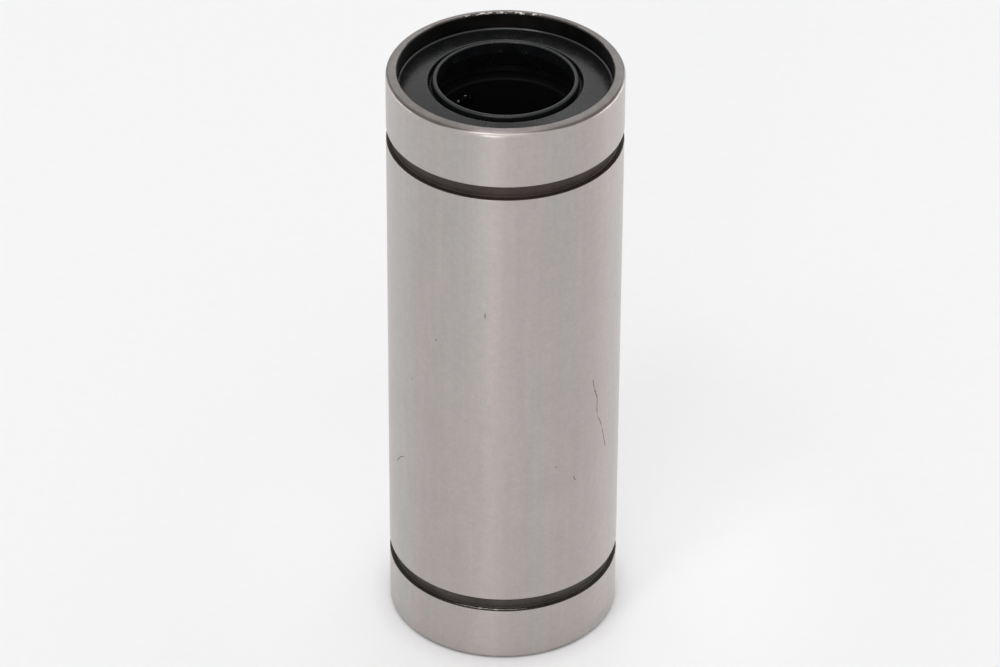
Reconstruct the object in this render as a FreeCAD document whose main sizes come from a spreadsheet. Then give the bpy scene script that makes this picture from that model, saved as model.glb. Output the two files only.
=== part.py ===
# Long sealed linear ball bearing for a 12 mm shaft, standing on its lower end.
# Millimetres. The origin is the middle of the lower end face and +Z is the shaft axis.
import FreeCAD, Part
import math
import os
import Sketcher

# Driving sizes. Each can be changed by itself, and the rest of the bearing follows.
SIZES = {
    # Shaft and length of the whole bearing, as in a table of standard sizes
    "shaft_diameter": 12.0,
    "length": 57.0,
    # Ground steel cylinder: the wall outside its reliefs makes it 21 mm across
    "relief_wall": 1.448,
    "outer_chamfer": 0.3,
    "circlip_groove_from_end": 5.5,
    "circlip_groove_width": 1.3,
    "circlip_groove_depth": 0.5,
    "circlip_groove_edge": 0.05,
    # Seats turned into each end of the cylinder
    "rim_wall": 1.0,
    "mouth_chamfer": 0.1,
    "shoulder_length": 0.3,
    "shoulder_step": 0.2,
    "ring_groove_depth": 0.95,
    # Balls and the closed tracks that they run round
    "circuits": 4,
    "first_circuit_angle": 45.0,
    "ball_diameter": 1.984,
    "balls_in_turn": 3,
    "ball_to_raceway": 0.02,
    "ball_to_ball_in_row": 0.04,
    "ball_to_ball_in_turn": 0.036,
    "return_rise": 0.858,
    "track_clearance": 0.08,
    "return_channel_clearance": 0.15,
    "relief_clearance": 0.21,
    "relief_run_out": 0.2,
    # Resin retainers, two in line
    "retainer_bore_clearance": 0.2,
    "retainer_to_raceway": 0.05,
    "retainer_end_wall": 0.6,
    "retainer_to_ring": 0.08,
    "retainer_middle_gap": 0.1,
    "retainer_chamfer": 0.25,
    "retainer_lead_in": 0.15,
    # Open spring rings that hold the retainers in
    "ring_thickness": 0.76,
    "ring_side_play": 0.05,
    "ring_seat_play": 0.08,
    "ring_width": 1.6,
    "ring_gap_angle": 24.0,
    # Rubber end seals
    "seal_recess": 1.52,
    "seal_thickness": 2.0,
    "seal_seat_play": 0.02,
    "seal_bevel": 0.17,
    "seal_face_rise": 0.4,
    "moat_width": 0.45,
    "moat_depth": 0.55,
    "lip_width": 0.32,
    "lip_rise": 0.3,
    "lip_round": 0.12,
    "lip_to_shaft": 0.02,
    "lip_land": 1.1,
    "lip_flare": 0.5,
}

# Sizes worked out from the driving ones, in the order in which they build on each other.
WORKED_OUT = {
    "shaft_radius": "sizes.shaft_diameter / 2",
    "ball_radius": "sizes.ball_diameter / 2",
    # Radii of the two rows of a circuit and of the steel round them
    "load_row_radius": "worked.shaft_radius + worked.ball_radius",
    "return_row_radius": "worked.load_row_radius + sizes.return_rise",
    "raceway_radius": "worked.load_row_radius + worked.ball_radius + sizes.ball_to_raceway",
    "return_channel_radius": "worked.ball_radius + sizes.return_channel_clearance",
    "relief_radius": "worked.return_row_radius + worked.ball_radius + sizes.relief_clearance",
    "outer_radius": "worked.relief_radius + sizes.relief_wall",
    # A circuit lies in a plane parallel to the axis: two straights joined by half turns
    "turn_radius": "(sizes.ball_diameter + sizes.ball_to_ball_in_turn) / 2"
    " / sin(90 deg / sizes.balls_in_turn)",
    "load_row_x": "(worked.return_row_radius ^ 2 - worked.load_row_radius ^ 2)"
    " / (4 * worked.turn_radius) - worked.turn_radius",
    "turn_x": "worked.load_row_x + worked.turn_radius",
    "return_row_x": "worked.turn_x + worked.turn_radius",
    "track_y": "sqrt(worked.load_row_radius ^ 2 - worked.load_row_x ^ 2)",
    "track_half_width": "worked.ball_radius + sizes.track_clearance",
    # Places along the axis, as depths from an end face
    "seal_back": "sizes.seal_recess + sizes.seal_thickness",
    "ring_groove_start": "worked.seal_back + sizes.shoulder_length",
    "ring_start": "worked.ring_groove_start + sizes.ring_side_play",
    "ring_end": "worked.ring_start + sizes.ring_thickness",
    "ring_groove_end": "worked.ring_end + sizes.ring_side_play",
    "retainer_start": "worked.ring_end + sizes.retainer_to_ring",
    "retainer_end": "(sizes.length - sizes.retainer_middle_gap) / 2",
    "retainer_middle": "(worked.retainer_start + worked.retainer_end) / 2",
    "straight_half": "(worked.retainer_end - worked.retainer_start) / 2"
    " - sizes.retainer_end_wall - worked.track_half_width - worked.turn_radius",
    "relief_half": "worked.straight_half + worked.turn_radius + worked.ball_radius"
    " + sizes.relief_run_out",
    # Radii of the pieces that fit in the cylinder
    "seat_radius": "worked.outer_radius - sizes.rim_wall",
    "shoulder_radius": "worked.raceway_radius + sizes.shoulder_step",
    "ring_groove_radius": "worked.raceway_radius + sizes.ring_groove_depth",
    "ring_radius": "worked.ring_groove_radius - sizes.ring_seat_play",
    "retainer_bore_radius": "worked.shaft_radius + sizes.retainer_bore_clearance",
    "retainer_radius": "worked.raceway_radius - sizes.retainer_to_raceway",
    "seal_radius": "worked.seat_radius - sizes.seal_seat_play",
    "lip_bore_radius": "worked.shaft_radius + sizes.lip_to_shaft",
    "lip_outer_radius": "worked.lip_bore_radius + sizes.lip_width",
    "moat_outer_radius": "worked.lip_outer_radius + sizes.moat_width",
}

ENDS = ("lower", "upper")
CUTTING_FEATURES = ("PartDesign::Pocket", "PartDesign::Groove")
# Edges this near a height lie at it, and a cut that removes less than this volume missed.
NEAR = 1e-4
LEAST_CUT = 0.01

doc = FreeCAD.newDocument("linear_bearing")
subparts = []


def make_sizes():
    """Put the driving sizes in the sheet and the worked out ones in a set beside it."""
    sheet = doc.addObject("Spreadsheet::Sheet", "sizes")
    for row, (alias, number) in enumerate(SIZES.items(), start=1):
        sheet.set(f"A{row}", alias.replace("_", " "))
        sheet.set(f"B{row}", str(number))
        sheet.setAlias(f"B{row}", alias)
    worked = doc.addObject("App::VarSet", "worked")
    for name in WORKED_OUT:
        worked.addProperty("App::PropertyFloat", name, "Sizes")
    for name, formula in WORKED_OUT.items():
        worked.setExpression(name, formula)
    doc.recompute()
    return worked


def value(formula):
    """The number that a formula of the sheet's sizes gives now."""
    return float(worked.evalExpression(formula))


def new_body(label):
    """An empty body that becomes the sub-part of that name."""
    body = doc.addObject("PartDesign::Body", label)
    body.Label = label
    subparts.append(body)
    return body


def origin_feature(body, role):
    """One of a body's own base planes or axes."""
    return next(f for f in body.Origin.OriginFeatures if f.Role == role)


def new_sketch(body, name, plane, lift=None):
    """A sketch on a base plane of its body, lifted off it by a formula where one is given."""
    sketch = body.newObject("Sketcher::SketchObject", name)
    sketch.AttachmentSupport = [(origin_feature(body, plane), "")]
    sketch.MapMode = "FlatFace"
    if lift:
        sketch.setExpression("AttachmentOffset.Base.z", lift)
    return sketch


def bind(sketch, kind, where, formula):
    """Add a dimension to a sketch and bind it to a formula."""
    dimension = sketch.addConstraint(Sketcher.Constraint(kind, *where, value(formula)))
    sketch.setExpression(f"Constraints[{dimension}]", formula)


def draw_outline(sketch, corners):
    """Draw a closed outline of straight lines through corners, each a pair of formulas."""
    points = [FreeCAD.Vector(value(across), value(up), 0) for across, up in corners]
    count = len(points)
    lines = [Part.LineSegment(points[n], points[(n + 1) % count]) for n in range(count)]
    sketch.addGeometry(lines, False)
    for n in range(count):
        sketch.addConstraint(Sketcher.Constraint("Coincident", n, 2, (n + 1) % count, 1))
    for n, (across, up) in enumerate(corners):
        bind(sketch, "DistanceX", (-1, 1, n, 1), across)
        bind(sketch, "DistanceY", (-1, 1, n, 1), up)


def draw_track_section(sketch, row_x):
    """Draw a track's section round one row: a round floor with straight walls that open outwards."""
    middle = FreeCAD.Vector(value(row_x), value("worked.track_y"), 0)
    half = value("worked.track_half_width")
    top = value("worked.raceway_radius")
    left_foot = FreeCAD.Vector(middle.x - half, middle.y, 0)
    right_foot = FreeCAD.Vector(middle.x + half, middle.y, 0)
    left_top = FreeCAD.Vector(left_foot.x, top, 0)
    right_top = FreeCAD.Vector(right_foot.x, top, 0)
    circle = Part.Circle(middle, FreeCAD.Vector(0, 0, 1), half)
    floor = sketch.addGeometry(Part.ArcOfCircle(circle, math.pi, 2 * math.pi), False)
    right = sketch.addGeometry(Part.LineSegment(right_foot, right_top), False)
    over = sketch.addGeometry(Part.LineSegment(right_top, left_top), False)
    left = sketch.addGeometry(Part.LineSegment(left_top, left_foot), False)
    for one, other in ((floor, right), (right, over), (over, left), (left, floor)):
        sketch.addConstraint(Sketcher.Constraint("Coincident", one, 2, other, 1))
    sketch.addConstraint(Sketcher.Constraint("Vertical", right))
    sketch.addConstraint(Sketcher.Constraint("Vertical", left))
    sketch.addConstraint(Sketcher.Constraint("Horizontal", over))
    sketch.addConstraint(Sketcher.Constraint("Horizontal", floor, 3, floor, 1))
    sketch.addConstraint(Sketcher.Constraint("Horizontal", floor, 3, floor, 2))
    bind(sketch, "DistanceX", (-1, 1, floor, 3), row_x)
    bind(sketch, "DistanceY", (-1, 1, floor, 3), "worked.track_y")
    bind(sketch, "Radius", (floor,), "worked.track_half_width")
    bind(sketch, "DistanceY", (-1, 1, over, 1), "worked.raceway_radius")


def revolve(body, sketch, name, angle="360"):
    """Turn a sketch round the shaft axis into solid material."""
    turned = body.newObject("PartDesign::Revolution", name)
    turned.Profile = sketch
    turned.ReferenceAxis = (origin_feature(body, "Z_Axis"), [""])
    turned.setExpression("Angle", angle)
    return turned


def pattern_round_axis(body, name, features):
    """Repeat features once for each circuit round the shaft axis."""
    pattern = body.newObject("PartDesign::PolarPattern", name)
    pattern.Originals = features
    pattern.Axis = (origin_feature(body, "Z_Axis"), [""])
    pattern.Angle = 360
    pattern.setExpression("Occurrences", "sizes.circuits")
    body.Tip = pattern
    return pattern


def turn_to_circuits(body):
    """Turn a body round the shaft axis, so that its tracks or channels meet the circuits."""
    body.setExpression(".Placement.Rotation.Angle", "sizes.first_circuit_angle")


def from_end(end, depth):
    """The height of a place that lies a given depth inside one end face."""
    if end == "lower":
        return depth
    return f"sizes.length - ({depth})"


def mirrored_profile(outside, inside):
    """A closed profile from corners of its lower half: up the outside, then down the inside."""
    flip = [(radius, from_end("upper", height)) for radius, height in reversed(outside)]
    flip_inside = [(radius, from_end("upper", height)) for radius, height in inside]
    return outside + flip + flip_inside + list(reversed(inside))


def make_outer_cylinder():
    """The ground steel cylinder: circlip grooves outside, seats, reliefs and raceway inside."""
    body = new_body("outer_cylinder")
    outer = "worked.outer_radius"
    edge = "sizes.circlip_groove_edge"
    groove_floor = "worked.outer_radius - sizes.circlip_groove_depth"
    groove_low = "sizes.circlip_groove_from_end"
    groove_high = "sizes.circlip_groove_from_end + sizes.circlip_groove_width"
    outside = [
        (f"{outer} - sizes.outer_chamfer", "0"),
        (outer, "sizes.outer_chamfer"),
        (outer, f"{groove_low} - {edge}"),
        (f"{outer} - {edge}", groove_low),
        (groove_floor, groove_low),
        (groove_floor, groove_high),
        (f"{outer} - {edge}", groove_high),
        (outer, f"{groove_high} + {edge}"),
    ]
    seat = "worked.seat_radius"
    shoulder = "worked.shoulder_radius"
    ring_groove = "worked.ring_groove_radius"
    raceway = "worked.raceway_radius"
    relief = "worked.relief_radius"
    inside = [
        (f"{seat} + sizes.mouth_chamfer", "0"),
        (seat, "sizes.mouth_chamfer"),
        (seat, "worked.seal_back"),
        (shoulder, "worked.seal_back"),
        (shoulder, "worked.ring_groove_start"),
        (ring_groove, "worked.ring_groove_start"),
        (ring_groove, "worked.ring_groove_end"),
        (raceway, "worked.ring_groove_end"),
        (raceway, "worked.retainer_middle - worked.relief_half"),
        (relief, "worked.retainer_middle - worked.relief_half"),
        (relief, "worked.retainer_middle - worked.straight_half"),
        (raceway, "worked.retainer_middle - worked.straight_half"),
        (raceway, "worked.retainer_middle + worked.straight_half"),
        (relief, "worked.retainer_middle + worked.straight_half"),
    ]
    section = new_sketch(body, "cylinder_section", "XZ_Plane")
    draw_outline(section, mirrored_profile(outside, inside))
    revolve(body, section, "turned_cylinder")

    # One broached channel for each return row, run out in the reliefs at both ends.
    lowest = "worked.retainer_middle - (worked.straight_half + worked.relief_half) / 2"
    hole = new_sketch(body, "return_channel_section", "XY_Plane", lowest)
    centre = FreeCAD.Vector(value("worked.return_row_x"), value("worked.track_y"), 0)
    up = FreeCAD.Vector(0, 0, 1)
    radius = value("worked.return_channel_radius")
    hole.addGeometry(Part.Circle(centre, up, radius), False)
    bind(hole, "DistanceX", (-1, 1, 0, 3), "worked.return_row_x")
    bind(hole, "DistanceY", (-1, 1, 0, 3), "worked.track_y")
    bind(hole, "Radius", (0,), "worked.return_channel_radius")
    channel = body.newObject("PartDesign::Pocket", "return_channel")
    channel.Profile = hole
    channel.Reversed = True
    channel.setExpression("Length", f"sizes.length - 2 * ({lowest})")
    pattern_round_axis(body, "return_channels", [channel])
    turn_to_circuits(body)


def cut_half_turn(body, end, name, height, downwards):
    """Carry a track's section round the half turn that joins its two straights."""
    section = new_sketch(body, f"{end}_{name}_section", "XY_Plane", height)
    draw_track_section(section, "worked.load_row_x")
    foot = FreeCAD.Vector(value("worked.turn_x"), 0, 0)
    tip = FreeCAD.Vector(foot.x, value("worked.load_row_radius"), 0)
    pivot = section.addGeometry(Part.LineSegment(foot, tip), True)
    section.addConstraint(Sketcher.Constraint("Vertical", pivot))
    bind(section, "DistanceX", (-1, 1, pivot, 1), "worked.turn_x")
    bind(section, "DistanceY", (-1, 1, pivot, 1), "0")
    bind(section, "DistanceY", (pivot, 1, pivot, 2), "worked.load_row_radius")
    turn = body.newObject("PartDesign::Groove", f"{end}_{name}")
    turn.Profile = section
    turn.ReferenceAxis = (section, ["Axis0"])
    turn.Angle = 180
    turn.Reversed = downwards
    return turn


def make_retainer(end):
    """A moulded retainer: a tube with a closed ball track for each circuit, open to the outside.

    The load straight is slotted through to the bore, narrower than a ball. The track keeps
    a floor below the return straight and leaves the bore along each half turn.
    """
    body = new_body(f"{end}_retainer")
    bore = "worked.retainer_bore_radius"
    skin = "worked.retainer_radius"
    lead_in = "sizes.retainer_lead_in"
    chamfer = "sizes.retainer_chamfer"
    start = "worked.retainer_start"
    stop = "worked.retainer_end"
    corners = [
        (f"{bore} + {lead_in}", start),
        (f"{skin} - {chamfer}", start),
        (skin, f"{start} + {chamfer}"),
        (skin, f"{stop} - {chamfer}"),
        (f"{skin} - {chamfer}", stop),
        (f"{bore} + {lead_in}", stop),
        (bore, f"{stop} - {lead_in}"),
        (bore, f"{start} + {lead_in}"),
    ]
    section = new_sketch(body, f"{end}_retainer_section", "XZ_Plane")
    draw_outline(section, [(radius, from_end(end, depth)) for radius, depth in corners])
    revolve(body, section, f"{end}_retainer_tube")

    middle = from_end(end, "worked.retainer_middle")
    rows = new_sketch(body, f"{end}_straights_section", "XY_Plane", middle)
    draw_track_section(rows, "worked.load_row_x")
    draw_track_section(rows, "worked.return_row_x")
    straights = body.newObject("PartDesign::Pocket", f"{end}_straights")
    straights.Profile = rows
    straights.Midplane = True
    straights.setExpression("Length", "2 * worked.straight_half")
    top = cut_half_turn(body, end, "top_turn", f"{middle} + worked.straight_half", False)
    bottom = cut_half_turn(body, end, "bottom_turn", f"{middle} - worked.straight_half", True)
    pattern_round_axis(body, f"{end}_tracks", [straights, top, bottom])
    turn_to_circuits(body)


def make_retaining_ring(end):
    """An open spring ring of square section in the groove that backs a retainer."""
    body = new_body(f"{end}_retaining_ring")
    ring = "worked.ring_radius"
    corners = [
        (f"{ring} - sizes.ring_width", "worked.ring_start"),
        (ring, "worked.ring_start"),
        (ring, "worked.ring_end"),
        (f"{ring} - sizes.ring_width", "worked.ring_end"),
    ]
    section = new_sketch(body, f"{end}_ring_section", "XZ_Plane")
    draw_outline(section, [(radius, from_end(end, depth)) for radius, depth in corners])
    revolve(body, section, f"{end}_open_ring", "360 - sizes.ring_gap_angle")


def make_seal(end):
    """A rubber end seal: a bevelled plate with a moat round the lip that wipes the shaft."""
    body = new_body(f"{end}_seal")
    rim = "worked.seal_radius"
    moat = "worked.moat_outer_radius"
    lip = "worked.lip_outer_radius"
    bore = "worked.lip_bore_radius"
    face = "sizes.seal_recess"
    face_top = "sizes.seal_recess - sizes.seal_face_rise"
    crest = "sizes.seal_recess - sizes.seal_face_rise - sizes.lip_rise"
    back = "worked.seal_back"
    corners = [
        (rim, back),
        (rim, f"{face} + sizes.seal_bevel"),
        (f"{rim} - sizes.seal_bevel", face),
        (moat, face_top),
        (moat, f"{face_top} + sizes.moat_depth"),
        (lip, f"{face_top} + sizes.moat_depth"),
        (lip, crest),
        (bore, crest),
        (bore, f"{crest} + sizes.lip_land"),
        (f"{bore} + sizes.lip_flare", back),
    ]
    section = new_sketch(body, f"{end}_seal_section", "XZ_Plane")
    draw_outline(section, [(radius, from_end(end, depth)) for radius, depth in corners])
    plate = revolve(body, section, f"{end}_seal_plate")
    doc.recompute()
    crest_height = value(from_end(end, crest))
    edges = [
        f"Edge{number}"
        for number, rim_edge in enumerate(plate.Shape.Edges, start=1)
        if abs(rim_edge.BoundBox.ZMin - crest_height) < NEAR
        and abs(rim_edge.BoundBox.ZMax - crest_height) < NEAR
    ]
    rounded = body.newObject("PartDesign::Fillet", f"{end}_lip_round")
    rounded.Base = (plate, edges)
    rounded.setExpression("Radius", "sizes.lip_round")


def make_ball(name, across, up):
    """One ball of a circuit, placed from the middle of the circuit by two formulas."""
    ball = doc.addObject("Part::Sphere", name)
    ball.setExpression("Radius", "worked.ball_radius")
    ball.setExpression(".Placement.Base.x", across)
    ball.setExpression(".Placement.Base.y", "worked.track_y")
    ball.setExpression(".Placement.Base.z", up)
    return ball


def make_circuit_balls():
    """The balls of one circuit, in the four groups that move as one piece over a ball's step."""
    length = value("2 * worked.straight_half")
    in_row = int(length // value("sizes.ball_diameter + sizes.ball_to_ball_in_row"))
    step = f"2 * worked.straight_half / {in_row}"
    groups = {"load_row": [], "return_row": [], "top_turn": [], "bottom_turn": []}
    for n in range(in_row):
        height = f"({n} + 0.5) * {step} - worked.straight_half"
        for row in ("load_row", "return_row"):
            groups[row].append(make_ball(f"{row}_ball_{n + 1}", f"worked.{row}_x", height))
    for n in range(SIZES["balls_in_turn"]):
        angle = f"({n} + 0.5) * 180 deg / sizes.balls_in_turn"
        across = f"worked.turn_x - worked.turn_radius * cos({angle})"
        out = f"worked.straight_half + worked.turn_radius * sin({angle})"
        groups["top_turn"].append(make_ball(f"top_turn_ball_{n + 1}", across, out))
        groups["bottom_turn"].append(make_ball(f"bottom_turn_ball_{n + 1}", across, f"-({out})"))
    return groups


def place_circuits(groups):
    """Repeat the groups of balls for each circuit of each retainer, one sub-part a group."""
    for end in ENDS:
        for number in range(1, SIZES["circuits"] + 1):
            for group, balls in groups.items():
                label = f"{end}_circuit_{number}_{group}"
                set_of_balls = doc.addObject("Part::Compound", label)
                set_of_balls.Label = label
                set_of_balls.Links = balls
                height = from_end(end, "worked.retainer_middle")
                set_of_balls.setExpression(".Placement.Base.z", height)
                turn = f"sizes.first_circuit_angle + {number - 1} * 360 / sizes.circuits"
                set_of_balls.setExpression(".Placement.Rotation.Angle", turn)
                subparts.append(set_of_balls)


def check_and_write():
    """Stop on anything that failed, then write each sub-part to a file of its own name."""
    for made in doc.Objects:
        if "Invalid" in made.State or "Error" in made.State:
            raise RuntimeError(f"{made.Label} failed: {made.State}")
        if made.TypeId in CUTTING_FEATURES:
            before = made.BaseFeature.Shape.Volume
            if before - made.Shape.Volume < LEAST_CUT:
                raise RuntimeError(f"{made.Label} cuts nothing")
    os.makedirs("parts", exist_ok=True)
    for subpart in subparts:
        shape = subpart.Shape
        if shape.isNull() or not shape.isValid():
            raise RuntimeError(f"{subpart.Label} has no valid shape")
        if subpart.TypeId == "PartDesign::Body" and len(shape.Solids) != 1:
            raise RuntimeError(f"{subpart.Label} is {len(shape.Solids)} solids")
        shape.exportStep(f"parts/{subpart.Label}.step")
        print(f"{subpart.Label}: {len(shape.Solids)} solids, {shape.Volume:.2f} mm3")


worked = make_sizes()
make_outer_cylinder()
for end in ENDS:
    make_retainer(end)
    make_retaining_ring(end)
    make_seal(end)
place_circuits(make_circuit_balls())
doc.recompute()
check_and_write()
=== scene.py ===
# %% [markdown]
# # A long sealed linear ball bearing
#
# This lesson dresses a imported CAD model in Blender. The bearing is a ground steel cylinder with a
# rubber seal in each end. Inside, two resin retainers guide closed circuits of steel balls, and
# a shaft runs through the middle on the balls.
#
# The CAD model comes first, as a fixed frame. Every surface below is made in that frame,
# so nothing has to be fitted by eye.

# %% Load the frame
import math
import bpy
import numpy as np
from mathutils import Matrix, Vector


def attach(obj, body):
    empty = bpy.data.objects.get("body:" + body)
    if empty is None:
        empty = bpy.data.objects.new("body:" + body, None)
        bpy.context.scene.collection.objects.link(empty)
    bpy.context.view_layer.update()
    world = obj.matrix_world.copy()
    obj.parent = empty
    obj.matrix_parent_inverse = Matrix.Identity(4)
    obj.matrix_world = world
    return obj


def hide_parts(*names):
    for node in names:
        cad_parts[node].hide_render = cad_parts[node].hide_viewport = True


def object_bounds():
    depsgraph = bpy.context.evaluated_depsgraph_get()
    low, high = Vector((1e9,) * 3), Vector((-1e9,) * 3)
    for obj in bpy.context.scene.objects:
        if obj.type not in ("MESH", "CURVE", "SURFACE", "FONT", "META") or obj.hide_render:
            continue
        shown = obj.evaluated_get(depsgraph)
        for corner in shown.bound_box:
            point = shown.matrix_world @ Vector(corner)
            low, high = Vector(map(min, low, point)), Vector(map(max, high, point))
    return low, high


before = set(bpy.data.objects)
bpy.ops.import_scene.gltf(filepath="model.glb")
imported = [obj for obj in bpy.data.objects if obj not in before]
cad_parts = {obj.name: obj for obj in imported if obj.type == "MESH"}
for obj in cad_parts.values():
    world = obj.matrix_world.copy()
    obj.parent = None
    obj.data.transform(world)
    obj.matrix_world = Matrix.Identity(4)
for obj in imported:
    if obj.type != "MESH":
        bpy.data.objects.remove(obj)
cad_low, cad_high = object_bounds()
MM = 0.001
print("CAD box in mm:", [round(x / MM, 3) for x in (*cad_low, *cad_high)])

# %% [markdown]
# ## The camera
#
# The photograph looks down on the bearing by about 35 degrees, from nearly half a metre away.
# A long lens from far off flattens a small object in this way. The rim's ellipses and both
# sides were used to find the place and the lens, and they hold for the 1000 x 667 picture.

# %% Place the camera
LOOKS_DOWN = math.radians(34.512)
ROLL = math.radians(0.29)
CAMERA_PLACE = (-0.000373, -0.381959, 0.291681)
SENSOR_WIDTH, FOCAL_LENGTH = 36, 184.68

camera = bpy.data.objects.new("camera", bpy.data.cameras.new("camera"))
bpy.context.collection.objects.link(camera)
camera.data.sensor_width = SENSOR_WIDTH
camera.data.lens = FOCAL_LENGTH
camera.data.clip_start = 0.01
tilt = Matrix.Rotation(math.pi / 2 - LOOKS_DOWN, 4, "X")
lean = Matrix.Rotation(ROLL, 4, "Z")
camera.matrix_world = Matrix.Translation(CAMERA_PLACE) @ tilt @ lean
bpy.context.scene.camera = camera
bpy.context.scene.view_settings.view_transform = "Standard"
print("camera stands", round(camera.location.length, 3), "m from the foot of the bearing")

# %% [markdown]
# ## Nodes in few lines
#
# Materials, the floor and the sky are all node trees. Small helpers keep them readable. One adds
# any node with its settings and inputs, and the others each make one common kind: a sum, a ramp
# from one number to another, a blend of two colours, a noise, and the place of a point. The last
# tells light that is seen from light that only falls on things.

# %% Helpers for node trees
def add(tree, kind, inputs=None, **settings):
    """Add a node. `inputs` gives a value, or a socket to link, for each input by name or place."""
    made = tree.nodes.new(kind)
    for name, setting in settings.items():
        setattr(made, name, setting)
    for name, given in (inputs or {}).items():
        if isinstance(given, bpy.types.NodeSocket):
            tree.links.new(given, made.inputs[name])
        else:
            made.inputs[name].default_value = given
    return made


def maths(tree, operation, *values, clamp=False):
    """A Math node's result, with a number or a socket for each of its inputs."""
    made = add(tree, "ShaderNodeMath", dict(enumerate(values)), operation=operation)
    made.use_clamp = clamp
    return made.outputs[0]


def ramp(tree, number, start, end, low=0, high=1, **settings):
    """A number that goes from low to high as the given one goes from start to end, and stays."""
    made = add(tree, "ShaderNodeMapRange", {0: number, 1: start, 2: end, 3: low, 4: high}, **settings)
    return made.outputs[0]


def between(tree, share, low, high):
    """A number that goes from low to high as the share goes from 0 to 1."""
    return ramp(tree, share, 0, 1, low, high)


def blend(tree, share, first, second):
    """A colour between two, each a socket or three numbers."""
    made = add(tree, "ShaderNodeMix", {0: share}, data_type="RGBA")
    for place, colour in ((6, first), (7, second)):
        if isinstance(colour, bpy.types.NodeSocket):
            tree.links.new(colour, made.inputs[place])
        else:
            made.inputs[place].default_value = (*colour, 1)
    return made.outputs[2]


def noise(tree, where, scale, detail, roughness=0.5):
    """Soft noise from 0 to 1. The scale is its waves in each unit of the place."""
    inputs = {"Vector": where, "Scale": scale, "Detail": detail, "Roughness": roughness}
    return add(tree, "ShaderNodeTexNoise", inputs).outputs[0]


def position(tree):
    """The place of each point in metres, in the frame that all the pieces share."""
    return add(tree, "ShaderNodeTexCoord").outputs["Object"]


def parts_of(tree, place):
    """The x, y and z of a place."""
    return add(tree, "ShaderNodeSeparateXYZ", {0: place}).outputs


def seen_directly(tree):
    """1 for rays from the camera, in reflections and through glass, and 0 for light on surfaces."""
    path = add(tree, "ShaderNodeLightPath").outputs
    either = maths(tree, "MAXIMUM", path["Is Camera Ray"], path["Is Glossy Ray"])
    return maths(tree, "MAXIMUM", either, path["Is Transmission Ray"])

# %% [markdown]
# ## A pale table and soft light
#
# The bearing stands on white paper in a light tent. A plain sky gives the even light. What the
# metal reflects is a little brighter than what falls on it, so the two are set apart by the kind
# of ray. High behind, the tent has a dark opening, which keeps the black seal black. The floor
# is matt, so that it keeps the soft shadow round the foot. The steel throws some light back on
# the paper there, and a faint glow stands for it.

# %% The sky
GAP_HEIGHT = math.radians(62)
TENT_LIGHT, TENT_SEEN = 0.709, 0.92

sky = bpy.data.worlds.new("light_tent")
bpy.context.scene.world = sky
sky.use_nodes = True
tree = sky.node_tree
tree.nodes.clear()
tent = add(tree, "ShaderNodeBackground", {"Color": (0.985, 0.99, 1.0, 1), "Strength": TENT_LIGHT})
direction = add(tree, "ShaderNodeTexCoord").outputs["Generated"]
gap = (-0.04, math.cos(GAP_HEIGHT), math.sin(GAP_HEIGHT))
facing = add(tree, "ShaderNodeVectorMath", {0: direction, 1: gap}, operation="DOT_PRODUCT")
in_gap = ramp(tree, facing.outputs["Value"], 0.960, 0.994)
cloth = blend(tree, in_gap, (0.99, 0.992, 1.0), (0.05, 0.045, 0.06))
seen = add(tree, "ShaderNodeBackground", {"Color": cloth, "Strength": TENT_SEEN})
lights = {0: seen_directly(tree), 1: tent.outputs[0], 2: seen.outputs[0]}
choice = add(tree, "ShaderNodeMixShader", lights)
add(tree, "ShaderNodeOutputWorld", {"Surface": choice.outputs[0]})

# %% The floor
FLOOR_HALF = 1.2
GLOW_MIDDLE, GLOW = (0.003, 0.002, 0), 0.088

floor_mesh = bpy.data.meshes.new("floor")
round_the_floor = ((-1, -1), (1, -1), (1, 1), (-1, 1))
floor_corners = [(x * FLOOR_HALF, y * FLOOR_HALF, 0) for x, y in round_the_floor]
floor_mesh.from_pydata(floor_corners, [], [(0, 1, 2, 3)])
floor = bpy.data.objects.new("floor", floor_mesh)
bpy.context.collection.objects.link(floor)
paper = bpy.data.materials.new("white_paper")
paper.use_nodes = True
tree = paper.node_tree
where = position(tree)
shade = blend(tree, noise(tree, where, 900, 3), (0.925, 0.923, 0.925), (0.95, 0.948, 0.95))
surface = tree.nodes["Principled BSDF"]
surface.inputs["Roughness"].default_value = 0.9
surface.inputs["Specular IOR Level"].default_value = 0.1
tree.links.new(shade, surface.inputs["Base Color"])

from_middle = add(tree, "ShaderNodeVectorMath", {0: where, 1: GLOW_MIDDLE}, operation="DISTANCE")
from_axis = add(tree, "ShaderNodeVectorMath", {0: where}, operation="LENGTH")
eased_out = {"interpolation_type": "SMOOTHSTEP"}
glow = ramp(tree, from_middle.outputs["Value"], 0.008, 0.037, GLOW, 0, **eased_out)
clear_of_foot = ramp(tree, from_axis.outputs["Value"], 0.0105, 0.0130, **eased_out)
tree.links.new(maths(tree, "MULTIPLY", glow, clear_of_foot), surface.inputs["Emission Color"])
surface.inputs["Emission Strength"].default_value = 1.0
floor_mesh.materials.append(paper)

# %% [markdown]
# ## Seven soft boxes
#
# On ground steel a lamp shows as a long soft band up the side. A narrow low box in front gives
# the light band near the middle, and a wide low one on each side brightens the metal towards its
# edges. A tall one high in front lights the rounded rim where it leans towards the camera, with
# a small bright one beside it for the glint. The flat of the rim and the seal's face mirror two
# more, one behind and one overhead.

# %% Lamps
LAMPS_FACE = Matrix.Translation((0, 0, 0.03))


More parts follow.
